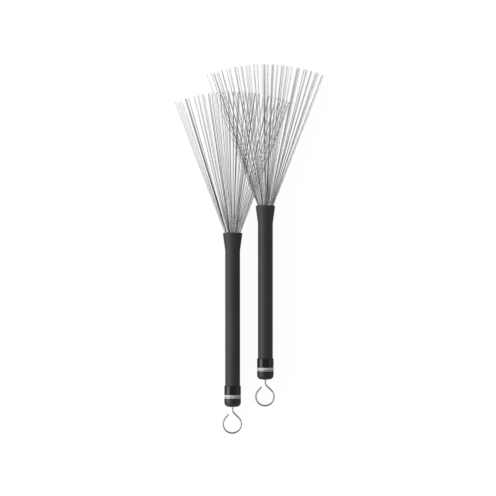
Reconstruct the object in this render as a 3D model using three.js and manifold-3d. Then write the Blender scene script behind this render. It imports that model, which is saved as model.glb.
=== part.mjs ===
// A pair of retractable wire drum brushes, lying side by side on a flat surface with their wire fans
// overlapping. Each brush is a rubber-sleeved aluminium tube with a flared mouth and a domed end cap.
// A looped pull rod runs through the cap to a ferrule that carries five flat rows of spring-steel wires,
// and pulling the loop draws the whole fan back into the tube.
//
// Millimetres, +Z up. Each brush is drawn along Y, with its mouth rim at y = 0, its wires towards +Y and
// its cap towards -Y, so a depth d inside the handle is y = -d.

import * as THREE from "three";
import { mergeVertices } from "three/addons/utils/BufferGeometryUtils.js";
import Module from "manifold-3d";

const wasm = await Module();
wasm.setup();

// ---- Driving dimensions ----

const gap = 0.25; // between pieces that are fixed in or against one another
const runningGap = 0.1; // between the rod and the bush that it slides in
const roundSides = 32; // sides of the large turned pieces
const smallSides = 16; // sides of the small turned pieces

const handle = {
  length: 167.2, // rim to the lowest point of the cap
  gripRadius: 7.05,
  mouthRadius: 9.25,
  mouthBore: 8.15,
  mouthBand: 2.2, // short straight band behind the rim
  flareLength: 16.5,
  lipRise: 0.4, // how far the inner edge of the rim stands proud
};

const tube = { outer: 5.3, bore: 4.8, front: 9.5, rear: 161.75, lipBore: 4.2, lipLength: 1.6 };

const cap = { radius: 8.05, length: 20.6, shoulder: 0.9, corner: 4.6, dome: 0.8, floor: 162 };

const bush = { flangeRadius: 3, flangeThickness: 1, bodyRadius: 1.8 };

const washer = { outer: 4.5, bore: 1.6, front: 160.8, thickness: 0.8 };

const rod = { radius: 0.8, neck: 4.5, sides: 8, steps: 46 };

// The rod's loop, from the brush's axis and from the bottom of the cap.
const loop = { radius: 8.7, offset: -0.45, drop: 16.4, endX: -3.9, endDrop: 6.9, arcPoints: 22 };

const ferrule = { radius: 4.45, front: 11.35, length: 9, chamfer: 0.3, rodSocket: 3 };

const ring = { section: 0.55, sectionSides: 8, middle: 4.05, depths: [17, 18.9] };

const collar = { outer: 2.3, length: 2 };

const fan = {
  focus: 18.5, // depth of the point that the wires spread from
  reach: 154.7, // focus to wire tip
  halfAngle: THREE.MathUtils.degToRad(22),
  wirePitch: THREE.MathUtils.degToRad(2.1),
  wireDiameter: 0.35,
  wireRoot: 9.5, // focus to the buried end of a wire
  rows: 5,
  rowPitch: 1.3,
  rowLimit: 3.7, // height at which a row would have no width left
  webReach: 10.6, // focus to the front edge of the web that joins a row
  webSteps: 6, // stretches in the web's curved front edge
  webMargin: 0.23, // from the outermost wires' centre lines to the web's sides
  webThickness: 0.45,
  webDepth: 15.1, // depth of the web's rear edge, inside the ferrule
};

const pair = {
  spacing: 31.5, // between the two handles' axes
  stagger: 26.3, // how far the right brush lies ahead of the left one
  rowShift: 0.43, // the left brush's rows sit this much low and the right one's this much high
};

// A wire has four sides, with corners far enough out to give it a round wire's cross-section.
const wireCorner = (fan.wireDiameter / 2) * Math.sqrt(Math.PI / 2);

// A brush rests on the edge of its flared mouth and on its slightly smaller cap, so it lies tilted.
const capEdge = handle.length - cap.corner - cap.dome;
const restTilt = Math.atan((handle.mouthRadius - cap.radius) / capEdge);

// ---- Materials ----

const finish = {
  rubber: new THREE.MeshStandardMaterial({ color: 0x3c3c3d, roughness: 0.75, metalness: 0 }),
  seal: new THREE.MeshStandardMaterial({ color: 0x17171a, roughness: 0.6, metalness: 0 }),
  plastic: new THREE.MeshStandardMaterial({ color: 0x1c1c1d, roughness: 0.25, metalness: 0 }),
  nylon: new THREE.MeshStandardMaterial({ color: 0xd9d5c8, roughness: 0.5, metalness: 0 }),
  aluminium: new THREE.MeshStandardMaterial({ color: 0xc4c7ca, roughness: 0.35, metalness: 1 }),
  rodSteel: new THREE.MeshStandardMaterial({ color: 0xb9bbbd, roughness: 0.2, metalness: 1 }),
  wireSteel: new THREE.MeshStandardMaterial({ color: 0x9fa2a6, roughness: 0.35, metalness: 1 }),
};

// ---- Helpers ----

// A solid turned about Y from [radius, y] points, with one flat side facing down.
function turned(profile, sides) {
  const points = profile.map(([radius, y]) => new THREE.Vector2(radius, y));
  return new THREE.LatheGeometry(points, sides, Math.PI / sides);
}

// A turned ring or sleeve: the profile closes on itself.
function turnedRing(profile, sides) {
  return turned([...profile, profile[0]], sides);
}

// Points along an arc about a centre, from one angle to another, both from +X towards +Y.
function arc(centreX, centreY, radius, from, to, count) {
  return Array.from({ length: count + 1 }, (_, i) => {
    const angle = from + ((to - from) * i) / count;
    return [centreX + radius * Math.cos(angle), centreY + radius * Math.sin(angle)];
  });
}

// The corners of a regular polygon.
function polygon(centreX, centreY, radius, sides) {
  return arc(centreX, centreY, radius, 0, 2 * Math.PI, sides).slice(0, -1);
}

function shapeOf(points) {
  return new THREE.Shape(points.map(([x, y]) => new THREE.Vector2(x, y)));
}

function solidOf(geometry) {
  const bare = geometry.clone();
  bare.deleteAttribute("normal");
  bare.deleteAttribute("uv");
  const merged = mergeVertices(bare, 1e-4);
  const mesh = new wasm.Mesh({
    numProp: 3,
    vertProperties: merged.attributes.position.array,
    triVerts: new Uint32Array(merged.index.array),
  });
  return new wasm.Manifold(mesh);
}

function geometryOf(solid) {
  const mesh = solid.getMesh();
  const geometry = new THREE.BufferGeometry();
  geometry.setAttribute("position", new THREE.BufferAttribute(mesh.vertProperties, 3));
  geometry.setIndex(new THREE.BufferAttribute(mesh.triVerts, 1));
  geometry.computeVertexNormals();
  return geometry;
}

function piece(name, geometry, material) {
  const mesh = new THREE.Mesh(geometry, material);
  mesh.name = name;
  return mesh;
}

// ---- Handle ----

// Rubber sleeve: a straight grip that flares to the mouth, with a conical mouth down to the tube's end.
function gripGeometry() {
  const { gripRadius, mouthRadius, mouthBore, mouthBand, flareLength, lipRise } = handle;
  const shoulder = tube.front - gap;
  const profile = [
    [tube.outer + gap, -tube.rear],
    [gripRadius, -tube.rear],
    [gripRadius, -flareLength],
    [gripRadius + 0.25, -flareLength + 2],
    [mouthRadius - 0.15, -mouthBand],
    [mouthRadius, -mouthBand + 0.3],
    [mouthRadius, 0],
    [mouthBore + 0.5, lipRise],
    [mouthBore, lipRise],
    [tube.bore, -shoulder],
    [tube.outer + gap, -shoulder],
  ];
  return turnedRing(profile, roundSides);
}

// Aluminium tube with its front edge rolled in, which stops the ferrule from leaving.
function tubeGeometry() {
  const { outer, bore, front, rear, lipBore, lipLength } = tube;
  const profile = [
    [bore, -rear],
    [outer, -rear],
    [outer, -front - 0.4],
    [outer - 0.4, -front],
    [lipBore, -front],
    [lipBore, -front - lipLength + 0.3],
    [bore, -front - lipLength],
  ];
  return turnedRing(profile, roundSides);
}

// Moulded cap pushed over the end of the sleeve, with a domed bottom and a seat for the rod bush.
function capGeometry() {
  const { radius, length, shoulder, corner, dome, floor } = cap;
  const bottom = -handle.length;
  const open = bottom + length;
  const hole = bush.bodyRadius + gap;
  const seat = bush.flangeRadius + gap;
  const step = -floor - bush.flangeThickness - 2 * gap;
  const profile = [
    [hole, bottom],
    [hole + 1, bottom + 0.07],
    ...arc(radius - corner, bottom + dome + corner, corner, -Math.PI / 2, 0, 5),
    [radius, open - shoulder],
    [radius - 0.3, open - 0.25],
    [radius - 0.7, open],
    [handle.gripRadius + gap, open],
    [handle.gripRadius + gap, -floor],
    [seat, -floor],
    [seat, step],
    [hole, step],
  ];
  return turnedRing(profile, roundSides);
}

// Flanged nylon bush in the cap's floor that the rod slides through.
function bushGeometry() {
  const { flangeRadius, flangeThickness, bodyRadius } = bush;
  const bore = rod.radius + runningGap;
  const top = -cap.floor - gap;
  const profile = [
    [bore, -handle.length],
    [bodyRadius, -handle.length],
    [bodyRadius, top - flangeThickness],
    [flangeRadius, top - flangeThickness],
    [flangeRadius, top],
    [bore, top],
  ];
  return turnedRing(profile, smallSides);
}

function flatRing(outer, inner, front, thickness) {
  const profile = [
    [inner, -front - thickness],
    [outer, -front - thickness],
    [outer, -front],
    [inner, -front],
  ];
  return turnedRing(profile, smallSides);
}

// ---- Sliding parts ----

// Angle about a circle's centre at which a line from a point outside it touches the circle.
function touchAngle(centre, radius, point, side) {
  const away = point.clone().sub(centre);
  return away.angle() + side * Math.acos(radius / away.length());
}

// Steel rod: straight through the handle, then bent into an open teardrop loop in the plane of the fan.
function rodGeometry() {
  const exit = -handle.length;
  const centre = new THREE.Vector2(loop.offset, exit - loop.drop);
  const neck = new THREE.Vector2(0, exit - rod.neck);
  const end = new THREE.Vector2(loop.endX, exit - loop.endDrop);
  const from = touchAngle(centre, loop.radius, neck, -1);
  const to = touchAngle(centre, loop.radius, end, 1) - 2 * Math.PI;
  const route = [
    [0, exit + 3],
    [0, exit - 1],
    [0, neck.y + 1.6],
    [0.35, neck.y - 0.2],
    ...arc(centre.x, centre.y, loop.radius, from, to, loop.arcPoints),
    [end.x, end.y],
  ];
  const along = route.map(([x, y]) => new THREE.Vector3(x, y, 0));
  const path = new THREE.CatmullRomCurve3(along, false, "centripetal");
  const section = shapeOf(polygon(0, 0, rod.radius, rod.sides));
  const bent = new THREE.ExtrudeGeometry(section, { steps: rod.steps, extrudePath: path });

  const front = -(ferrule.front + ferrule.length - ferrule.rodSocket);
  const length = front - exit;
  const straight = new THREE.CylinderGeometry(rod.radius, rod.radius, length, rod.sides);
  straight.translate(0, exit + length / 2, 0);
  return geometryOf(solidOf(bent).add(solidOf(straight)));
}

function rowHeights(shift) {
  return Array.from({ length: fan.rows }, (_, i) => (i - (fan.rows - 1) / 2) * fan.rowPitch + shift);
}

// A row narrows with its distance from the fan's middle plane, so that the fan is lens-shaped.
function rowHalfAngle(height) {
  return fan.halfAngle * Math.sqrt(1 - (height / fan.rowLimit) ** 2);
}

// Flat web that joins the roots of a row: it widens from the ferrule as the wires do.
function webGeometry(height, extra) {
  const half = rowHalfAngle(height);
  const margin = fan.webMargin + extra;
  const side = half + margin / fan.webReach;
  const rearHalf = (fan.focus - ferrule.front) * Math.tan(half) + margin;
  const thickness = fan.webThickness + 2 * extra;
  const outline = shapeOf([
    [-rearHalf, -ferrule.front],
    [-rearHalf, -fan.webDepth - extra],
    [rearHalf, -fan.webDepth - extra],
    [rearHalf, -ferrule.front],
    ...arc(0, -fan.focus, fan.webReach, Math.PI / 2 - side, Math.PI / 2 + side, fan.webSteps),
  ]);
  const web = new THREE.ExtrudeGeometry(outline, { depth: thickness, bevelEnabled: false });
  return web.translate(0, 0, height - thickness / 2);
}

// One row: straight wires at even angles, all the same length from the focus, joined by their web.
function rowGeometry(height) {
  const half = rowHalfAngle(height);
  const count = Math.floor((2 * half) / fan.wirePitch) + 1;
  const length = fan.reach - fan.wireRoot;
  let row = solidOf(webGeometry(height, 0));
  for (let i = 0; i < count; i++) {
    const angle = ((2 * i) / (count - 1) - 1) * half;
    const wire = new THREE.CylinderGeometry(wireCorner, wireCorner, length, 4, 1, false, Math.PI / 4);
    wire.translate(0, fan.wireRoot + length / 2, 0);
    wire.rotateZ(-angle);
    wire.translate(0, -fan.focus, height);
    row = row.add(solidOf(wire));
  }
  return geometryOf(row);
}

// Turned ferrule that slides in the tube: slots for the rows, two ring grooves and a socket for the rod.
function ferruleGeometry(heights) {
  const { radius, front, length, chamfer, rodSocket } = ferrule;
  const rear = front + length;
  const half = ring.section + gap;
  const floor = ring.middle - half;
  const groove = (depth) => [
    [radius, -depth - half],
    [floor, -depth - half],
    [floor, -depth + half],
    [radius, -depth + half],
  ];
  const profile = [
    [0, -rear],
    [radius - chamfer, -rear],
    [radius, -rear + chamfer],
    ...[...ring.depths].reverse().flatMap(groove),
    [radius, -front - chamfer],
    [radius - chamfer, -front],
    [0, -front],
  ];
  const socketRadius = rod.radius + gap;
  const socketLength = rodSocket + 2 * gap;
  const socket = new THREE.CylinderGeometry(socketRadius, socketRadius, socketLength, smallSides);
  socket.translate(0, -rear - gap + socketLength / 2, 0);

  let body = solidOf(turned(profile, smallSides)).subtract(solidOf(socket));
  for (const height of heights) body = body.subtract(solidOf(webGeometry(height, gap)));
  return geometryOf(body);
}

// Rubber ring in a groove of the ferrule, whose grip on the tube holds the fan where it is put.
function ringGeometry(depth) {
  return turnedRing(polygon(ring.middle, -depth, ring.section, ring.sectionSides), smallSides);
}

// ---- One brush, and the pair ----

function brush(side, shift) {
  const group = new THREE.Group();
  const heights = rowHeights(shift);
  const collarFront = ferrule.front + ferrule.length + gap;
  const add = (name, geometry, material) => group.add(piece(`${side}_${name}`, geometry, material));

  add("grip", gripGeometry(), finish.rubber);
  add("tube", tubeGeometry(), finish.aluminium);
  add("end_cap", capGeometry(), finish.plastic);
  add("rod_bush", bushGeometry(), finish.nylon);
  add("stop_washer", flatRing(washer.outer, washer.bore, washer.front, washer.thickness), finish.rodSteel);

  add("pull_rod", rodGeometry(), finish.rodSteel);
  add("rod_collar", flatRing(collar.outer, rod.radius + gap, collarFront, collar.length), finish.rodSteel);
  add("wire_ferrule", ferruleGeometry(heights), finish.aluminium);
  add("front_ring", ringGeometry(ring.depths[0]), finish.seal);
  add("rear_ring", ringGeometry(ring.depths[1]), finish.seal);
  heights.forEach((height, i) => add(`wire_row_${i + 1}`, rowGeometry(height), finish.wireSteel));
  return group;
}

const leftBrush = brush("left", -pair.rowShift);
const rightBrush = brush("right", pair.rowShift);
leftBrush.position.set(-pair.spacing / 2, -pair.stagger / 2, 0);
rightBrush.position.set(pair.spacing / 2, pair.stagger / 2, 0);
for (const one of [leftBrush, rightBrush]) one.rotation.x = restTilt;

// The origin is under the middle of the pair, on the surface that it lies on.
const brushes = new THREE.Group();
brushes.add(leftBrush, rightBrush);
brushes.updateMatrixWorld(true);
const bounds = new THREE.Box3().setFromObject(brushes, true);
const middle = bounds.getCenter(new THREE.Vector3());
brushes.position.set(-middle.x, -middle.y, -bounds.min.z);

export default brushes;
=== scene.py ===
import math

import bmesh
import bpy
from mathutils import Matrix, Vector, noise


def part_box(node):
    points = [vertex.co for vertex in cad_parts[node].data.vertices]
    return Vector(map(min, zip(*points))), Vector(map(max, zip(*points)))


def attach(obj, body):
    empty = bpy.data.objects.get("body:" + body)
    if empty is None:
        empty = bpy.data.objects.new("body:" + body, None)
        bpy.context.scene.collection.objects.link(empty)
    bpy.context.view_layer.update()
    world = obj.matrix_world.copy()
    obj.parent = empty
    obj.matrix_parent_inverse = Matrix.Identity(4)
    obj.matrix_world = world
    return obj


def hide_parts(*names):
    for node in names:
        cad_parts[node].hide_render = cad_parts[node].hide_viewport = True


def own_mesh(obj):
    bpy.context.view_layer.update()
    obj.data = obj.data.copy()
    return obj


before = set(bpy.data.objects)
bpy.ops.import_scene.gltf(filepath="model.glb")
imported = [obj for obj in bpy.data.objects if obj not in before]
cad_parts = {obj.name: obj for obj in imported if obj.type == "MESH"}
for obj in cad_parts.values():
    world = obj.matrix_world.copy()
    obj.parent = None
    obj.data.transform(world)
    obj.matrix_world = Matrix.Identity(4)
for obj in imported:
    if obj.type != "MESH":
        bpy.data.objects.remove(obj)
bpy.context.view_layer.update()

mm = 0.001  # pieces are drawn in millimetres and placed in metres
brushSides = ("left", "right")
print("frame loaded:", len(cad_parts), "CAD nodes")


# where the brushes lie

handle = {
    "ringDepth": 17.0,  # the front friction ring, below the rim of the mouth
    "length": 167.2,  # rim to the lowest point of the cap
}


def middleOf(node):
    low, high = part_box(node)
    return (low + high) / 2


def brushPlace(side):
    # the front ring and the stop washer are both centred on the brush's axis
    ring = middleOf(f"{side}_front_ring")
    forward = (ring - middleOf(f"{side}_stop_washer")).normalized()
    across = Vector((1, 0, 0))
    mouth = ring + forward * handle["ringDepth"] * mm
    turn = Matrix((across, forward, across.cross(forward))).transposed().to_4x4()
    return Matrix.Translation(mouth) @ turn @ Matrix.Scale(mm, 4)


places = {side: brushPlace(side) for side in brushSides}


# materials

noiseSpan = (0.3, 0.7)  # where nearly all of a noise's values lie


def newMaterial(name, **fixed):
    # fixed holds the shader sockets that are the same all over the surface
    material = bpy.data.materials.new(name)
    material.use_nodes = True
    shader = material.node_tree.nodes["Principled BSDF"]
    for socket, value in fixed.items():
        shader.inputs[socket].default_value = value
    return material, material.node_tree, shader


def fill(tree, socket, value):
    # a socket takes a link or a plain value
    if isinstance(value, bpy.types.NodeSocket):
        tree.links.new(value, socket)
    else:
        socket.default_value = value


def addNode(tree, kind, **settings):
    node = tree.nodes.new(kind)
    for key, value in settings.items():
        if key in node.inputs:
            fill(tree, node.inputs[key], value)
        else:
            setattr(node, key, value)
    return node


def calculate(tree, operation, *values):
    node = addNode(tree, "ShaderNodeMath", operation=operation)
    for socket, value in zip(node.inputs, values):
        fill(tree, socket, value)
    return node.outputs[0]


def objectCoordinates(tree, stretch=(1, 1, 1)):
    coordinates = addNode(tree, "ShaderNodeTexCoord").outputs["Object"]
    return addNode(tree, "ShaderNodeMapping", Vector=coordinates, Scale=stretch).outputs["Vector"]


def addNoise(tree, vector, scale, detail=4, roughness=0.55):
    settings = {"Vector": vector, "Scale": scale, "Detail": detail, "Roughness": roughness}
    return addNode(tree, "ShaderNodeTexNoise", **settings).outputs["Fac"]


def remap(tree, value, fromLow, fromHigh, toLow, toHigh):
    ends = {"From Min": fromLow, "From Max": fromHigh, "To Min": toLow, "To Max": toHigh}
    return addNode(tree, "ShaderNodeMapRange", Value=value, **ends).outputs["Result"]


def spreadNoise(tree, value, low, high):
    return remap(tree, value, *noiseSpan, low, high)


def mixColours(tree, amount, first, second):
    node = addNode(tree, "ShaderNodeMix", data_type="RGBA", Factor=amount)
    for key, colour in (("A", first), ("B", second)):
        socket = next(s for s in node.inputs if s.name == key and s.type == "RGBA")
        fill(tree, socket, (*colour, 1) if isinstance(colour, tuple) else colour)
    return next(s for s in node.outputs if s.type == "RGBA")


def addBump(tree, shader, height, distance):
    bump = addNode(tree, "ShaderNodeBump", Height=height, Distance=distance)
    tree.links.new(bump.outputs["Normal"], shader.inputs["Normal"])


def readAttribute(tree, name):
    return addNode(tree, "ShaderNodeAttribute", attribute_name=name).outputs["Fac"]


# noises are in cells to the metre, and depths in metres
gripLook = {
    "dark": (0.035, 0.035, 0.0355),
    "light": (0.049, 0.049, 0.0495),
    "worn": (0.05, 0.05, 0.051),
    "roughness": (0.5, 0.62),
    "handling": 90.0,  # slow changes of tone along the sleeve
    "grain": 2600.0,
    "grainDepth": 0.00012,
}


def gripRubber():
    material, tree, shader = newMaterial("gripRubber", **{"IOR": 1.45, "Specular IOR Level": 0.4})
    grain = addNoise(tree, objectCoordinates(tree), gripLook["grain"], detail=3)
    handling = addNoise(tree, objectCoordinates(tree, (1, 0.25, 1)), gripLook["handling"], detail=5)
    colour = mixColours(tree, spreadNoise(tree, handling, 0, 1), gripLook["dark"], gripLook["light"])
    worn = remap(tree, readAttribute(tree, "edgeWear"), 0, 1, 0, 0.6)
    fill(tree, shader.inputs["Base Color"], mixColours(tree, worn, colour, gripLook["worn"]))
    fill(tree, shader.inputs["Roughness"], spreadNoise(tree, handling, *gripLook["roughness"]))
    addBump(tree, shader, grain, gripLook["grainDepth"])
    return material


capLook = {
    "colour": (0.006, 0.006, 0.0063),
    "etched": (0.022, 0.022, 0.0225),  # specks in the matt lower part
    "worn": (0.03, 0.03, 0.031),
    "roughness": (0.18, 0.32),
    "mattRoughness": 0.22,  # added in the matt part
    "smudges": 160.0,
    "ripples": 700.0,
    "rippleShare": 0.3,  # of the specks' depth
    "specks": 1500.0,
    "speckDepth": 0.00006,
}


def capPlastic():
    material, tree, shader = newMaterial("capPlastic", **{"IOR": 1.5})
    place = objectCoordinates(tree)
    ripple = addNoise(tree, place, capLook["ripples"], detail=2)
    smudge = addNoise(tree, place, capLook["smudges"], detail=5, roughness=0.6)
    speckle = addNoise(tree, place, capLook["specks"], detail=3)
    matt = readAttribute(tree, "matt")
    worn = remap(tree, readAttribute(tree, "edgeWear"), 0, 1, 0, 0.5)
    specked = remap(tree, speckle, 0.35, 0.65, 0, 1)
    etchedColour = mixColours(tree, specked, capLook["colour"], capLook["etched"])
    colour = mixColours(tree, matt, capLook["colour"], etchedColour)
    fill(tree, shader.inputs["Base Color"], mixColours(tree, worn, colour, capLook["worn"]))
    glossy = remap(tree, smudge, 0.35, 0.7, *capLook["roughness"])
    roughness = calculate(tree, "MULTIPLY_ADD", matt, capLook["mattRoughness"], glossy)
    fill(tree, shader.inputs["Roughness"], roughness)
    specks = calculate(tree, "MULTIPLY", speckle, matt)
    height = calculate(tree, "MULTIPLY_ADD", ripple, capLook["rippleShare"], specks)
    addBump(tree, shader, height, capLook["speckDepth"])
    return material


inkLook = {
    "full": (0.83, 0.83, 0.82),
    "thin": (0.55, 0.55, 0.55),
    "specks": 3500.0,
}


def capInk():
    material, tree, shader = newMaterial("capInk", **{"IOR": 1.45, "Roughness": 0.42})
    speckle = addNoise(tree, objectCoordinates(tree), inkLook["specks"], detail=3)
    thin = remap(tree, speckle, 0.6, 0.75, 0, 1)
    fill(tree, shader.inputs["Base Color"], mixColours(tree, thin, inkLook["full"], inkLook["thin"]))
    return material


metalLooks = {
    "rodSteel": {
        "dark": (0.42, 0.42, 0.423),
        "light": (0.55, 0.55, 0.553),
        "roughness": (0.24, 0.34),
        "stretch": (1, 1, 1),  # of the streaks
        "streaks": 900.0,
        "depth": 0.000006,
    },
    "tubeAluminium": {
        "dark": (0.46, 0.465, 0.475),
        "light": (0.6, 0.605, 0.615),
        "roughness": (0.28, 0.42),
        "stretch": (1, 0.02, 1),
        "streaks": 4000.0,
        "depth": 0.00001,
    },
    "ferruleSteel": {
        "dark": (0.4, 0.4, 0.405),
        "light": (0.56, 0.56, 0.565),
        "roughness": (0.22, 0.36),
        "stretch": (0.1, 1, 0.1),
        "streaks": 2600.0,
        "depth": 0.00001,
    },
}


def metal(name):
    look = metalLooks[name]
    material, tree, shader = newMaterial(name, **{"Metallic": 1.0})
    streak = addNoise(tree, objectCoordinates(tree, look["stretch"]), look["streaks"])
    cloud = addNoise(tree, objectCoordinates(tree), 220.0, detail=3)
    colour = mixColours(tree, spreadNoise(tree, cloud, 0, 1), look["dark"], look["light"])
    fill(tree, shader.inputs["Base Color"], colour)
    fill(tree, shader.inputs["Roughness"], spreadNoise(tree, streak, *look["roughness"]))
    addBump(tree, shader, streak, look["depth"])
    return material


wireLook = {
    "dark": (0.04, 0.04, 0.041),
    "light": (0.75, 0.755, 0.76),
    "roughness": (0.22, 0.38),
    "streaks": 5000.0,
}


def wireSteel():
    # every wire has a tone of its own, stored in its mesh
    material, tree, shader = newMaterial("wireSteel", **{"Metallic": 1.0})
    streak = addNoise(tree, objectCoordinates(tree, (1, 0.03, 1)), wireLook["streaks"], detail=2)
    tone = readAttribute(tree, "wireTone")
    fill(tree, shader.inputs["Base Color"], mixColours(tree, tone, wireLook["dark"], wireLook["light"]))
    fill(tree, shader.inputs["Roughness"], spreadNoise(tree, streak, *wireLook["roughness"]))
    return material


bushLook = {
    "dark": (0.6, 0.57, 0.5),
    "light": (0.7, 0.67, 0.6),
    "roughness": (0.4, 0.5),
    "clouds": 900.0,
    "lightDepth": (0.0006, 0.0005, 0.0004),  # how far light goes into the nylon
}


def bushNylon():
    material, tree, shader = newMaterial("bushNylon", **{"IOR": 1.53, "Subsurface Weight": 0.15})
    shader.inputs["Subsurface Radius"].default_value = bushLook["lightDepth"]
    cloud = addNoise(tree, objectCoordinates(tree), bushLook["clouds"])
    colour = mixColours(tree, spreadNoise(tree, cloud, 0, 1), bushLook["dark"], bushLook["light"])
    fill(tree, shader.inputs["Base Color"], colour)
    fill(tree, shader.inputs["Roughness"], spreadNoise(tree, cloud, *bushLook["roughness"]))
    return material


sealLook = {
    "dark": (0.009, 0.009, 0.01),
    "bloom": (0.03, 0.03, 0.03),
    "roughness": (0.45, 0.6),
    "blooms": 1500.0,
    "depth": 0.00001,
}


def sealRubber():
    material, tree, shader = newMaterial("sealRubber", **{"IOR": 1.52})
    bloom = addNoise(tree, objectCoordinates(tree), sealLook["blooms"])
    amount = remap(tree, bloom, 0.4, 0.8, 0, 1)
    fill(tree, shader.inputs["Base Color"], mixColours(tree, amount, sealLook["dark"], sealLook["bloom"]))
    fill(tree, shader.inputs["Roughness"], spreadNoise(tree, bloom, *sealLook["roughness"]))
    addBump(tree, shader, bloom, sealLook["depth"])
    return material


materials = {
    "gripRubber": gripRubber(),
    "capPlastic": capPlastic(),
    "capInk": capInk(),
    "wireSteel": wireSteel(),
    "bushNylon": bushNylon(),
    "sealRubber": sealRubber(),
    **{name: metal(name) for name in metalLooks},
}
print("materials made:", len(materials))


# building blocks

straightAngle = 0.01  # corners flatter than this need no rounding
roundingSteps = 5


def roundedProfile(corners):
    # corners are (radius, y, rounding), and the result is (radius, y, wear)
    # wear goes from 0 to 1 at the middle of a convex rounding
    count = len(corners)
    area = sum(corners[i - 1][0] * corners[i][1] - corners[i][0] * corners[i - 1][1] for i in range(count))
    points = []
    for i, (radius, y, rounding) in enumerate(corners):
        here = Vector((radius, y))
        before = Vector(corners[i - 1][:2]) - here
        after = Vector(corners[(i + 1) % count][:2]) - here
        half = before.angle(after) / 2 if rounding else 0
        if not rounding or math.pi / 2 - half < straightAngle:
            points.append((radius, y, 0.0))
            continue
        convex = (before.x * after.y - before.y * after.x) * area < 0
        middle = here + (before.normalized() + after.normalized()).normalized() * rounding / math.sin(half)
        first = here + before.normalized() * rounding / math.tan(half) - middle
        last = here + after.normalized() * rounding / math.tan(half) - middle
        for k in range(roundingSteps + 1):
            share = k / roundingSteps
            arm = first.slerp(last, share) * rounding  # slerp gives unit vectors
            wear = math.sin(math.pi * share) if convex else 0.0
            points.append((middle.x + arm.x, middle.y + arm.y, wear))
    return points


sharpAngle = math.radians(32)  # edges sharper than this stay crisp


def smoothMesh(mesh):
    work = bmesh.new()
    work.from_mesh(mesh)
    bmesh.ops.recalc_face_normals(work, faces=work.faces)
    for face in work.faces:
        face.smooth = True
    for edge in work.edges:
        edge.smooth = edge.calc_face_angle(0.0) < sharpAngle
    work.to_mesh(mesh)
    work.free()


def finishPiece(name, mesh, side, body, nodes, material=None):
    # places a mesh drawn in the brush's own millimetres, and ties it to the frame
    mesh.transform(places[side])
    mesh.update()
    piece = bpy.data.objects.new(f"{side}_{name}", mesh)
    bpy.context.scene.collection.objects.link(piece)
    if material:
        mesh.materials.append(materials[material])
    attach(piece, f"{side}_{body}")
    if nodes:
        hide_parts(*(f"{side}_{node}" for node in nodes))
    return piece


def turnedMesh(name, corners, segments):
    # turns a closed outline of (radius, y, rounding) corners about the brush's axis
    outline = roundedProfile(corners)
    work = bmesh.new()
    wearLayer = work.verts.layers.float.new("edgeWear")
    rings = []
    for radius, y, wear in outline:
        ring = []
        for k in range(segments):
            angle = 2 * math.pi * k / segments
            vert = work.verts.new((radius * math.sin(angle), y, radius * math.cos(angle)))
            vert[wearLayer] = wear
            ring.append(vert)
        rings.append(ring)
    for i, ring in enumerate(rings):
        before = rings[i - 1]
        for k in range(segments):
            work.faces.new((before[k - 1], before[k], ring[k], ring[k - 1]))
    mesh = bpy.data.meshes.new(name)
    work.to_mesh(mesh)
    work.free()
    smoothMesh(mesh)
    return mesh


# the handle

grip = {
    "radius": 7.12,
    "mouthRadius": 9.2,
    "mouthBore": 8.15,
    "mouthBand": 1.7,
    "flareLength": 16.7,
    "lipRise": 0.4,
    "lipWidth": 0.5,
    "throat": 5.0,  # radius at the mouth's inner end
    "rear": 161.7,
    "frontStep": 9.3,  # where the sleeve's mouth meets the tube
    "bore": 5.35,
    "stations": 56,  # rings of vertices along the straight part
    "waves": 0.025,  # unevenness of the moulded rubber
    "waveSize": (9, 14),  # across and along
    "seam": 0.06,  # height of the two mould lines
    "seamWidth": 0.25,
    "seamEase": 4,  # they fade out this near the rim
}


def gripCorners():
    step = (grip["rear"] - grip["flareLength"]) / grip["stations"]
    straight = [(grip["radius"], -grip["rear"] + step * k, 0) for k in range(1, grip["stations"])]
    return [
        (grip["bore"], -grip["rear"], 0),
        (grip["radius"], -grip["rear"], 0.2),
        *straight,
        (grip["radius"], -grip["flareLength"], 3.0),
        (grip["mouthRadius"], -grip["mouthBand"], 2.0),
        (grip["mouthRadius"], 0, 0.3),
        (grip["mouthBore"] + grip["lipWidth"], grip["lipRise"], 0.2),
        (grip["mouthBore"], grip["lipRise"], 0.2),
        (grip["throat"], -grip["frontStep"], 0),
        (grip["bore"], -grip["frontStep"], 0),
    ]


def moulded(mesh):
    # slow waves in the rubber, and a fine line down each side where the mould halves met
    acrossWave, alongWave = grip["waveSize"]
    for vert in mesh.vertices:
        radius = math.hypot(vert.co.x, vert.co.z)
        if radius < grip["radius"] - 0.1:  # the inside stays plain
            continue
        spot = Vector((vert.co.x / acrossWave, vert.co.y / alongWave, vert.co.z / acrossWave))
        wave = grip["waves"] * noise.noise(spot)
        ease = min(1, -vert.co.y / grip["seamEase"]) if vert.co.y < 0 else 0
        seam = grip["seam"] * max(0, 1 - abs(vert.co.z) / grip["seamWidth"]) * ease
        scale = (radius + wave + seam) / radius
        vert.co.x *= scale
        vert.co.z *= scale
    return mesh


tube = {
    "outer": 5.3,
    "bore": 4.8,
    "front": 9.5,
    "rear": 161.75,
    "lipBore": 4.2,  # of the edge that is rolled in at the front
    "lipLength": 1.6,
    "lipTaper": 0.4,
}


def tubeCorners():
    lipEnd = tube["front"] + tube["lipLength"]
    return [
        (tube["bore"], -tube["rear"], 0.1),
        (tube["outer"], -tube["rear"], 0.1),
        (tube["outer"], -tube["front"], 0.5),
        (tube["lipBore"], -tube["front"], 0.25),
        (tube["lipBore"], -lipEnd, 0.15),
        (tube["bore"], -lipEnd - tube["lipTaper"], 0.2),
    ]


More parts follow.
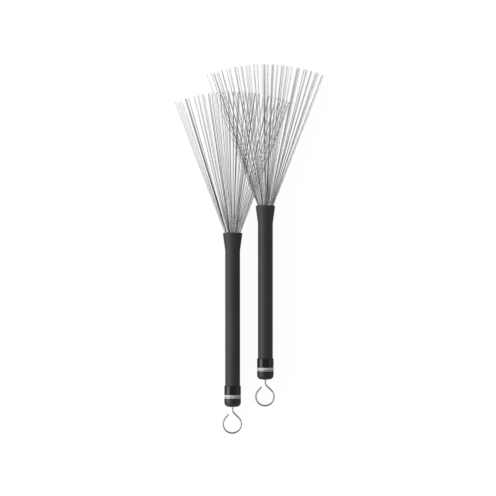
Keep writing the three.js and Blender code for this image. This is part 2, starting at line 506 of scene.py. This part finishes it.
cap = {
    "radius": 7.98,
    "length": 20.6,
    "shoulder": 0.55,
    "cornerRadius": 4.0,
    "dome": 0.7,
    "domeRounding": 8.0,
    "rise": 0.25,  # from the hole's edge to the start of the dome
    "bore": 7.2,
    "floor": 162.0,
    "holeRadius": 1.95,
    "mattFrom": 159.3,  # below the rim of the mouth
    "mattBlend": 0.3,
}


def capCorners():
    bottom = -handle["length"]
    top = bottom + cap["length"]
    return [
        (cap["holeRadius"], bottom, 0.15),
        (cap["radius"] - cap["cornerRadius"], bottom + cap["rise"], cap["domeRounding"]),
        (cap["radius"], bottom + cap["dome"], cap["cornerRadius"]),
        (cap["radius"], -cap["mattFrom"] - cap["mattBlend"], 0),
        (cap["radius"], -cap["mattFrom"], 0),
        (cap["radius"], top - cap["shoulder"], 0.3),
        (cap["radius"] - cap["shoulder"], top, 0.15),
        (cap["bore"], top, 0.1),
        (cap["bore"], -cap["floor"], 0),
        (cap["holeRadius"], -cap["floor"], 0),
    ]


def etched(mesh):
    # marks the part of the cap that is matt
    matt = mesh.attributes.new("matt", "FLOAT", "POINT")
    for vert, mark in zip(mesh.vertices, matt.data):
        mark.value = 1.0 if vert.co.y < -cap["mattFrom"] - cap["mattBlend"] / 2 else 0.0
    return mesh


bush = {
    "outer": 1.8,
    "flange": 3.0,
    "flangeThickness": 1.0,
    "bore": 0.9,
    "proud": 0.1,  # of the cap's bottom
}


def bushCorners():
    bottom = -handle["length"] - bush["proud"]
    top = -cap["floor"]
    return [
        (bush["bore"], bottom, 0.12),
        (bush["outer"], bottom, 0.2),
        (bush["outer"], top, 0),
        (bush["flange"], top, 0.1),
        (bush["flange"], top + bush["flangeThickness"], 0.2),
        (bush["bore"], top + bush["flangeThickness"], 0.1),
    ]


def flatRingCorners(ring):
    front = -ring["front"]
    rear = front - ring["thickness"]
    return [
        (ring["bore"], rear, 0.08),
        (ring["outer"], rear, 0.12),
        (ring["outer"], front, 0.12),
        (ring["bore"], front, 0.08),
    ]


ferrule = {
    "radius": 4.45,
    "bore": 0.9,
    "front": 11.35,
    "length": 9.0,
    "pocket": 3.1,  # radius of the hollow that the wires stand in
    "pocketDepth": 2.5,
    "pocketLip": 0.4,
    "grooveSlack": 0.1,
}
rings = {
    "section": 0.55,  # radius of the rubber
    "middle": 4.05,
    "front_ring": 17.0,  # below the rim of the mouth
    "rear_ring": 18.9,
    "sides": 20,
}
washer = {"outer": 4.5, "bore": 1.6, "front": 160.8, "thickness": 0.8}
collar = {
    "outer": 2.3,
    "bore": 0.85,
    "front": ferrule["front"] + ferrule["length"] + 0.15,
    "thickness": 2.0,
}


def ferruleCorners():
    front, rear = ferrule["front"], ferrule["front"] + ferrule["length"]
    grooveFloor = rings["middle"] - rings["section"]
    half = rings["section"] + ferrule["grooveSlack"]
    pocketFloor = -front - ferrule["pocketDepth"]
    corners = [(ferrule["bore"], -rear, 0), (ferrule["radius"], -rear, 0.3)]
    for key in ("rear_ring", "front_ring"):
        corners += [
            (ferrule["radius"], -rings[key] - half, 0.05),
            (grooveFloor, -rings[key] - half, 0.1),
            (grooveFloor, -rings[key] + half, 0.1),
            (ferrule["radius"], -rings[key] + half, 0.05),
        ]
    return corners + [
        (ferrule["radius"], -front, 0.4),
        (ferrule["pocket"] + 0.3, -front, 0.2),
        (ferrule["pocket"], -front - ferrule["pocketLip"], 0),
        (ferrule["pocket"], pocketFloor, 0),
        (ferrule["bore"], pocketFloor, 0),
    ]


def sealCorners(depth):
    # a round section, as the outline of a ring
    corners = []
    for k in range(rings["sides"]):
        angle = 2 * math.pi * k / rings["sides"]
        across = rings["section"] * math.cos(angle)
        along = rings["section"] * math.sin(angle)
        corners.append((rings["middle"] + across, along - depth, 0))
    return corners


turnedPieces = {
    # piece: outline, body, record slot, material, segments
    "grip": (gripCorners(), "handle", "grip_rubber", "gripRubber", 160),
    "tube": (tubeCorners(), "handle", "tube_aluminium", "tubeAluminium", 96),
    "end_cap": (capCorners(), "handle", "cap_plastic", "capPlastic", 128),
    "rod_bush": (bushCorners(), "handle", "bush_nylon", "bushNylon", 64),
    "stop_washer": (flatRingCorners(washer), "handle", "rod_steel", "ferruleSteel", 64),
    "rod_collar": (flatRingCorners(collar), "slider", "rod_steel", "ferruleSteel", 48),
    "wire_ferrule": (ferruleCorners(), "slider", "tube_aluminium", "ferruleSteel", 96),
    "front_ring": (sealCorners(rings["front_ring"]), "slider", "seal_rubber", "sealRubber", 64),
    "rear_ring": (sealCorners(rings["rear_ring"]), "slider", "seal_rubber", "sealRubber", 64),
}

for side in brushSides:
    for node, (corners, body, slot, material, segments) in turnedPieces.items():
        mesh = turnedMesh(f"{side}_{node}", corners, segments)
        if node == "grip":
            mesh = moulded(mesh)
        if node == "end_cap":
            mesh = etched(mesh)
        finishPiece(f"{node}_turned", mesh, side, body, [node], material)
print("turned pieces made:", len(turnedPieces), "for each brush")


# the pull rod, bent into an open teardrop loop

rod = {
    "radius": 0.8,
    "front": 17.5,  # the rod's end in the ferrule
    "sides": 24,
    "edge": 0.15,  # eased at both ends
}
loop = {
    "radius": 8.7,
    "offset": -0.45,  # of the loop's centre from the brush's axis
    "drop": 16.4,  # of the loop's centre below the cap
    "neck": 4.5,  # straight length below the cap
    "neckBend": 2.6,
    "end": (-3.9, 6.9),  # free end, from the axis and below the cap
    "steps": 64,
    "bendSteps": 10,
}


def touchAngle(centre, radius, point, turn):
    away = point - centre
    return math.atan2(away.y, away.x) + turn * math.acos(radius / away.length)


def rodRoute():
    bottom = -handle["length"]
    centre = Vector((loop["offset"], bottom - loop["drop"]))
    neck = Vector((0, bottom - loop["neck"]))
    end = Vector((loop["end"][0], bottom - loop["end"][1]))
    start = touchAngle(centre, loop["radius"], neck, -1)
    stop = touchAngle(centre, loop["radius"], end, 1)
    stop -= 2 * math.pi * math.ceil((stop - start) / (2 * math.pi))
    arcPoints = []
    for k in range(loop["steps"] + 1):
        angle = start + (stop - start) * k / loop["steps"]
        arcPoints.append(centre + loop["radius"] * Vector((math.cos(angle), math.sin(angle))))
    slant = (arcPoints[0] - neck).normalized()
    upward = Vector((0, 1))
    half = upward.angle(slant) / 2
    reach = loop["neckBend"] / math.tan(half)
    bendCentre = neck + (upward + slant).normalized() * loop["neckBend"] / math.sin(half)
    first = neck + upward * reach - bendCentre
    last = neck + slant * reach - bendCentre
    bend = []
    for k in range(loop["bendSteps"] + 1):
        arm = first.slerp(last, k / loop["bendSteps"]) * loop["neckBend"]  # slerp gives unit vectors
        bend.append(bendCentre + arm)
    return [Vector((0, -rod["front"])), Vector((0, bottom + 1)), *bend, *arcPoints, end]


def sweptMesh(name, route, radius, sides, edge):
    # a round bar along a flat route, with both ends eased
    work = bmesh.new()
    stations = []
    for i, point in enumerate(route):
        along = (route[min(i + 1, len(route) - 1)] - route[max(i - 1, 0)]).normalized()
        stations.append((point, along, radius))
    firstPoint, firstAlong, _ = stations[0]
    lastPoint, lastAlong, _ = stations[-1]
    stations[0] = (firstPoint + firstAlong * edge, firstAlong, radius)
    stations[-1] = (lastPoint - lastAlong * edge, lastAlong, radius)
    stations.insert(0, (firstPoint, firstAlong, radius - edge))
    stations.append((lastPoint, lastAlong, radius - edge))
    loops = []
    for point, along, size in stations:
        across = Vector((along.y, -along.x))
        ring = []
        for k in range(sides):
            angle = 2 * math.pi * k / sides
            flat = point + across * size * math.cos(angle)
            ring.append(work.verts.new((flat.x, flat.y, size * math.sin(angle))))
        loops.append(ring)
    for before, after in zip(loops, loops[1:]):
        for k in range(sides):
            work.faces.new((before[k - 1], before[k], after[k], after[k - 1]))
    work.faces.new(loops[0])
    work.faces.new(loops[-1])
    mesh = bpy.data.meshes.new(name)
    work.to_mesh(mesh)
    work.free()
    smoothMesh(mesh)
    return mesh


for side in brushSides:
    mesh = sweptMesh(f"{side}_pull_rod", rodRoute(), rod["radius"], rod["sides"], rod["edge"])
    finishPiece("pull_rod_bent", mesh, side, "slider", ["pull_rod"], "rodSteel")
print("pull rods bent")


# geometry nodes: the wire fans and the printed ring on the cap

def newTree(name, values):
    # the tree has one named input for each value, and one for its material
    tree = bpy.data.node_groups.new(name, "GeometryNodeTree")
    tree.interface.new_socket("Geometry", in_out="INPUT", socket_type="NodeSocketGeometry")
    for label, value in values.items():
        kind = "NodeSocketInt" if isinstance(value, int) else "NodeSocketFloat"
        tree.interface.new_socket(label, in_out="INPUT", socket_type=kind).default_value = value
    tree.interface.new_socket("Material", in_out="INPUT", socket_type="NodeSocketMaterial")
    tree.interface.new_socket("Geometry", in_out="OUTPUT", socket_type="NodeSocketGeometry")
    return tree, tree.nodes.new("NodeGroupInput").outputs


def finishTree(tree, geometry, material):
    real = addNode(tree, "GeometryNodeRealizeInstances", Geometry=geometry)
    painted = addNode(
        tree, "GeometryNodeSetMaterial", Geometry=real.outputs["Geometry"], Material=material
    )
    result = tree.nodes.new("NodeGroupOutput")
    tree.links.new(painted.outputs["Geometry"], result.inputs["Geometry"])
    return tree


def randomValue(tree, low, high, identity, seed, offset):
    # a steady random number for each identity
    node = addNode(tree, "FunctionNodeRandomValue", data_type="FLOAT")
    floats = [s for s in node.inputs if s.type == "VALUE"]
    fill(tree, floats[0], low)
    fill(tree, floats[1], high)
    fill(tree, node.inputs["ID"], identity)
    fill(tree, node.inputs["Seed"], calculate(tree, "ADD", seed, offset))
    return next(s for s in node.outputs if s.type == "VALUE")


def nodeVector(tree, x=0.0, y=0.0, z=0.0):
    return addNode(tree, "ShaderNodeCombineXYZ", X=x, Y=y, Z=z).outputs["Vector"]


def evaluatedMesh(tree, values, name):
    # runs a tree on an empty mesh and gives the result as a plain mesh
    holder = bpy.data.objects.new(name, bpy.data.meshes.new(name))
    bpy.context.scene.collection.objects.link(holder)
    modifier = holder.modifiers.new(name, "NODES")
    modifier.node_group = tree
    for item in tree.interface.items_tree:
        if item.item_type == "SOCKET" and item.in_out == "INPUT" and item.name in values:
            modifier[item.identifier] = values[item.name]
    evaluated = holder.evaluated_get(bpy.context.evaluated_depsgraph_get())
    mesh = bpy.data.meshes.new_from_object(evaluated)
    holder.modifiers.remove(modifier)
    bpy.data.objects.remove(holder)
    return mesh


fan = {
    "Count": 108,
    "Spread": 22.2,  # degrees either side of the axis
    "Focus": 18.5,  # below the rim, where the wires' lines meet
    "Reach": 154.75,  # focus to the wire tips
    "Root": 5.5,  # focus to the buried ends
    "Thickness": 3.5,  # half, at the tips
    "Wire Radius": 0.165,
    "Bunches": 31,
    "Bunch Width": 3.3,  # the widest; wires of a bunch run side by side
    "Bunch Shift": 0.7,  # how unevenly the bunches are spaced
    "Ragged": 0.15,
    "Bow": 0.1,
}
fanShape = {
    "narrowest": 0.28,  # the narrowest bunch, as a share of the widest
    "rootWidth": 0.4,  # a bunch's width at its root, as a share of that at its tips
    "gather": 25.0,  # distance over which the wires of a bunch part
    "rootThickness": 0.5,  # of the fan, as a share of that at its tips
    "stations": 6,  # points along a wire
    "sides": 8,
}
fanTones = {
    # 0 is the dark tone of the steel and 1 the light one
    "bunch": (-0.04, 1.0),
    "wire": (-0.35, 0.25),
    "ends": (0.3, 5.0),  # amount, and how near the ends it stays
    "edges": 11.0,  # how near the fan's edges the light wires stay
}
fanSeeds = {"left": 2635, "right": 2954}


def wireFanTree():
    tree, inputs = newTree("wireFan", {**fan, "Seed": 1})
    links = tree.links
    line = addNode(tree, "GeometryNodeCurvePrimitiveLine", mode="POINTS")
    stations = addNode(tree, "GeometryNodeResampleCurve", mode="COUNT", Count=fanShape["stations"])
    links.new(line.outputs["Curve"], stations.inputs["Curve"])
    copies = addNode(tree, "GeometryNodeDuplicateElements", domain="SPLINE")
    links.new(stations.outputs["Curve"], copies.inputs["Geometry"])
    links.new(inputs["Count"], copies.inputs["Amount"])
    wire, seed = copies.outputs["Duplicate Index"], inputs["Seed"]

    # each wire falls in a bunch, and each bunch has its own direction
    share = calculate(tree, "ADD", wire, randomValue(tree, 0.0, 1.0, wire, seed, 1))
    share = calculate(tree, "MULTIPLY", calculate(tree, "DIVIDE", share, inputs["Count"]), inputs["Bunches"])
    share = calculate(tree, "MINIMUM", share, calculate(tree, "SUBTRACT", inputs["Bunches"], 0.001))
    bunch = calculate(tree, "FLOOR", share)
    withinBunch = calculate(tree, "SUBTRACT", calculate(tree, "FRACT", share), 0.5)
    shift = calculate(tree, "MULTIPLY", inputs["Bunch Shift"], randomValue(tree, -0.5, 0.5, bunch, seed, 2))
    place = calculate(tree, "ADD", calculate(tree, "ADD", bunch, 0.5), shift)
    place = calculate(tree, "DIVIDE", place, inputs["Bunches"])
    place = calculate(tree, "MULTIPLY_ADD", place, 2.0, -1.0)  # -1 to 1 across the fan
    width = randomValue(tree, fanShape["narrowest"], 1.0, bunch, seed, 5)
    width = calculate(tree, "MULTIPLY", inputs["Bunch Width"], width)
    margin = calculate(tree, "DIVIDE", calculate(tree, "MULTIPLY", width, 0.5), inputs["Reach"])
    spread = calculate(tree, "SUBTRACT", calculate(tree, "RADIANS", inputs["Spread"]), margin)
    angle = calculate(tree, "MULTIPLY", place, spread)

    # how far along the wire, from the focus
    along = addNode(tree, "GeometryNodeSplineParameter").outputs["Factor"]
    ragged = calculate(tree, "MULTIPLY", inputs["Ragged"], randomValue(tree, -1.0, 0.0, wire, seed, 3))
    length = calculate(tree, "SUBTRACT", calculate(tree, "ADD", inputs["Reach"], ragged), inputs["Root"])
    distance = calculate(tree, "MULTIPLY_ADD", along, length, inputs["Root"])

    # the fan is lens-shaped from the side: thickest in the middle
    lens = calculate(tree, "SUBTRACT", 1.0001, calculate(tree, "MULTIPLY", place, place))
    lens = calculate(tree, "SQRT", lens)
    layer = calculate(tree, "MULTIPLY", randomValue(tree, -1.0, 1.0, wire, seed, 4), lens)
    rise = calculate(tree, "MULTIPLY", layer, inputs["Thickness"])
    thin = fanShape["rootThickness"]
    height = calculate(tree, "MULTIPLY", rise, calculate(tree, "MULTIPLY_ADD", along, 1 - thin, thin))

    # beside the others of its bunch, with a slight bow that is nought at both ends
    narrow = fanShape["rootWidth"]
    beside = calculate(tree, "MULTIPLY", withinBunch, width)
    beside = calculate(tree, "MULTIPLY", beside, calculate(tree, "MULTIPLY_ADD", along, 1 - narrow, narrow))
    parted = calculate(tree, "MINIMUM", calculate(tree, "DIVIDE", distance, fanShape["gather"]), 1.0)
    beside = calculate(tree, "MULTIPLY", beside, parted)
    belly = calculate(tree, "MULTIPLY", along, calculate(tree, "SUBTRACT", 1.0, along))
    bow = calculate(tree, "MULTIPLY", inputs["Bow"], randomValue(tree, -4.0, 4.0, wire, seed, 6))
    sideways = calculate(tree, "MULTIPLY_ADD", belly, bow, beside)

    x = calculate(tree, "MULTIPLY_ADD", distance, calculate(tree, "SINE", angle), sideways)
    y = calculate(tree, "MULTIPLY", distance, calculate(tree, "COSINE", angle))
    y = calculate(tree, "SUBTRACT", y, inputs["Focus"])
    moved = addNode(tree, "GeometryNodeSetPosition", Position=nodeVector(tree, x, y, height))
    links.new(copies.outputs["Geometry"], moved.inputs["Geometry"])

    # the wires of a bunch share much of their tone; both ends and the outermost wires are lighter
    shared = randomValue(tree, *fanTones["bunch"], bunch, seed, 7)
    own = randomValue(tree, *fanTones["wire"], wire, seed, 8)
    outer = calculate(tree, "POWER", calculate(tree, "ABSOLUTE", place), fanTones["edges"])
    ends = calculate(tree, "ABSOLUTE", calculate(tree, "MULTIPLY_ADD", along, 2.0, -1.0))
    amount, nearness = fanTones["ends"]
    pale = calculate(tree, "MULTIPLY_ADD", calculate(tree, "POWER", ends, nearness), amount, outer)
    tone = addNode(tree, "GeometryNodeStoreNamedAttribute", data_type="FLOAT", domain="POINT")
    tone.inputs["Name"].default_value = "wireTone"
    links.new(moved.outputs["Geometry"], tone.inputs["Geometry"])
    value = next(s for s in tone.inputs if s.name == "Value" and s.type == "VALUE" and s.enabled)
    links.new(calculate(tree, "ADD", calculate(tree, "ADD", shared, own), pale), value)

    section = addNode(tree, "GeometryNodeCurvePrimitiveCircle", Resolution=fanShape["sides"])
    links.new(inputs["Wire Radius"], section.inputs["Radius"])
    swept = addNode(tree, "GeometryNodeCurveToMesh")
    swept.inputs["Fill Caps"].default_value = True
    links.new(tone.outputs["Geometry"], swept.inputs["Curve"])
    links.new(section.outputs["Curve"], swept.inputs["Profile Curve"])
    return finishTree(tree, swept.outputs["Mesh"], inputs["Material"])


wireFan = wireFanTree()
wireRows = [f"wire_row_{k}" for k in range(1, 6)]
for side in brushSides:
    values = {**fan, "Seed": fanSeeds[side], "Material": materials["wireSteel"]}
    mesh = evaluatedMesh(wireFan, values, f"{side}_fan_wires")
    smoothMesh(mesh)
    piece = finishPiece("fan_wires", mesh, side, "slider", wireRows)
    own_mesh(piece)
print("wire fans made:", fan["Count"], "wires in each")


capMarks = {
    "Bars": 30,
    "Radius": 7.96,  # of the buried side of the ink
    "Lift": 0.05,  # thickness of the ink
    "Depth": 156.7,  # of the middle of the bars, below the rim
    "Bar Width": 1.15,
    "Bar Height": 2.3,
    "Slant": 0.45,
    "Line Height": 0.4,
    "Line Gap": 0.7,
}
lineShare = 0.9985  # of the way round, so that the line's two ends don't touch


def inkBox(tree, size, pointsAlong):
    points = {"Vertices X": pointsAlong, "Vertices Y": 2, "Vertices Z": 2}
    return addNode(tree, "GeometryNodeMeshCube", Size=size, **points).outputs["Mesh"]


def nodePosition(tree):
    position = addNode(tree, "GeometryNodeInputPosition").outputs["Position"]
    return addNode(tree, "ShaderNodeSeparateXYZ", Vector=position).outputs


def wrapped(tree, geometry, middleRadius):
    # bends flat ink round the cap: x runs round it, y along it and z outward
    position = nodePosition(tree)
    angle = calculate(tree, "DIVIDE", position["X"], middleRadius)
    radius = calculate(tree, "ADD", position["Z"], middleRadius)
    x = calculate(tree, "MULTIPLY", radius, calculate(tree, "SINE", angle))
    z = calculate(tree, "MULTIPLY", radius, calculate(tree, "COSINE", angle))
    moved = addNode(tree, "GeometryNodeSetPosition", Position=nodeVector(tree, x, position["Y"], z))
    tree.links.new(geometry, moved.inputs["Geometry"])
    return moved.outputs["Geometry"]


def capMarksTree():
    # plain slanted bars round the cap, with a thin line below them
    tree, inputs = newTree("capMarks", capMarks)
    links = tree.links
    around = calculate(tree, "MULTIPLY", inputs["Radius"], 2 * math.pi)
    middle = calculate(tree, "MULTIPLY", inputs["Lift"], 0.5)
    barY = calculate(tree, "MULTIPLY", inputs["Depth"], -1.0)

    barSize = nodeVector(tree, inputs["Bar Width"], inputs["Bar Height"], inputs["Lift"])
    lean = calculate(tree, "MULTIPLY", nodePosition(tree)["Y"], inputs["Slant"])
    slanted = addNode(tree, "GeometryNodeSetPosition", Offset=nodeVector(tree, lean))
    links.new(inkBox(tree, barSize, 4), slanted.inputs["Geometry"])
    spots = addNode(tree, "GeometryNodeMeshLine", Count=inputs["Bars"])
    links.new(nodeVector(tree, 0.0, barY, middle), spots.inputs["Start Location"])
    pitch = calculate(tree, "DIVIDE", around, inputs["Bars"])
    links.new(nodeVector(tree, pitch), spots.inputs["Offset"])
    bars = addNode(tree, "GeometryNodeInstanceOnPoints")
    links.new(spots.outputs["Mesh"], bars.inputs["Points"])
    links.new(slanted.outputs["Geometry"], bars.inputs["Instance"])
    realBars = addNode(tree, "GeometryNodeRealizeInstances", Geometry=bars.outputs["Instances"])

    length = calculate(tree, "MULTIPLY", around, lineShare)
    lineSize = nodeVector(tree, length, inputs["Line Height"], inputs["Lift"])
    below = calculate(tree, "MULTIPLY_ADD", inputs["Bar Height"], 0.5, inputs["Line Gap"])
    lineY = calculate(tree, "MULTIPLY", calculate(tree, "ADD", inputs["Depth"], below), -1.0)
    line = addNode(tree, "GeometryNodeTransform", Translation=nodeVector(tree, 0.0, lineY, middle))
    links.new(inkBox(tree, lineSize, 97), line.inputs["Geometry"])

    join = addNode(tree, "GeometryNodeJoinGeometry")
    for geometry in (realBars.outputs["Geometry"], line.outputs["Geometry"]):
        links.new(wrapped(tree, geometry, inputs["Radius"]), join.inputs["Geometry"])
    return finishTree(tree, join.outputs["Geometry"], inputs["Material"])


capMarksNodes = capMarksTree()
for side in brushSides:
    values = {**capMarks, "Material": materials["capInk"]}
    mesh = evaluatedMesh(capMarksNodes, values, f"{side}_cap_marks")
    smoothMesh(mesh)
    finishPiece("cap_marks", mesh, side, "handle", [])
print("cap marks made:", capMarks["Bars"], "bars on each cap")


# the stage, the lights and the camera

stageLook = {
    "floorSize": 30.0,
    "floorColour": 0.08,
    "floorGlow": 0.955,  # as the camera sees it
    "floorBounce": 0.3,  # as the object sees it
    "overhead": 0.28,
    "horizon": 0.5,
    "horizonEnds": (0.15, 0.7),  # heights between which one turns into the other
}
softboxes = {
    # place, size, power
    "leftSoftbox": ((-0.9, 0.0, 0.42), (1.6, 0.75), 12),
    "rightSoftbox": ((0.95, 0.1, 0.35), (1.4, 0.5), 0.8),
}
softboxAim = Vector((0, 0, 0.01))
cameraView = {
    "span": 0.4772,  # metres across the frame at the object
    "lens": 200.0,
    "centre": (-0.00095, 0.0011, 0.009),
}


def makeFloor():
    bpy.ops.mesh.primitive_plane_add(size=stageLook["floorSize"], location=(0, 0, 0))
    floor = bpy.context.object
    floor.name = "floor"
    material, tree, shader = newMaterial("floorPaper", **{"Roughness": 0.9, "Specular IOR Level": 0.0})
    shader.inputs["Base Color"].default_value = (*[stageLook["floorColour"]] * 3, 1)
    shader.inputs["Emission Color"].default_value = (1, 1, 1, 1)
    seen = addNode(tree, "ShaderNodeLightPath").outputs["Is Camera Ray"]
    glow = remap(tree, seen, 0, 1, stageLook["floorBounce"], stageLook["floorGlow"])
    fill(tree, shader.inputs["Emission Strength"], glow)
    floor.data.materials.append(material)


def makeWorld():
    world = bpy.data.worlds.new("studio")
    bpy.context.scene.world = world
    world.use_nodes = True
    tree = world.node_tree
    direction = addNode(tree, "ShaderNodeTexCoord").outputs["Generated"]
    upward = addNode(tree, "ShaderNodeSeparateXYZ", Vector=direction).outputs["Z"]
    level = remap(tree, upward, *stageLook["horizonEnds"], stageLook["horizon"], stageLook["overhead"])
    cameraRay = addNode(tree, "ShaderNodeLightPath").outputs["Is Camera Ray"]
    background = tree.nodes["Background"]
    fill(tree, background.inputs["Strength"], calculate(tree, "MAXIMUM", level, cameraRay))  # white backdrop
    background.inputs["Color"].default_value = (1, 1, 1, 1)


def makeSoftbox(name, place, size, power):
    light = bpy.data.lights.new(name, "AREA")
    light.shape = "RECTANGLE"
    light.size, light.size_y = size
    light.energy = power
    box = bpy.data.objects.new(name, light)
    bpy.context.scene.collection.objects.link(box)
    box.location = place
    box.rotation_mode = "QUATERNION"
    box.rotation_quaternion = (softboxAim - Vector(place)).to_track_quat("-Z", "Y")
    box.visible_camera = False


def makeCamera():
    camera = bpy.data.cameras.new("camera")
    camera.lens = cameraView["lens"]
    camera.clip_end = 50
    holder = bpy.data.objects.new("camera", camera)
    bpy.context.scene.collection.objects.link(holder)
    distance = cameraView["span"] * cameraView["lens"] / camera.sensor_width
    holder.location = Vector(cameraView["centre"]) + Vector((0, 0, distance))
    bpy.context.scene.camera = holder


makeFloor()
makeWorld()
for name, (place, size, power) in softboxes.items():
    makeSoftbox(name, place, size, power)
makeCamera()
bpy.context.scene.view_settings.view_transform = "Standard"
print("stage, lights and camera placed")
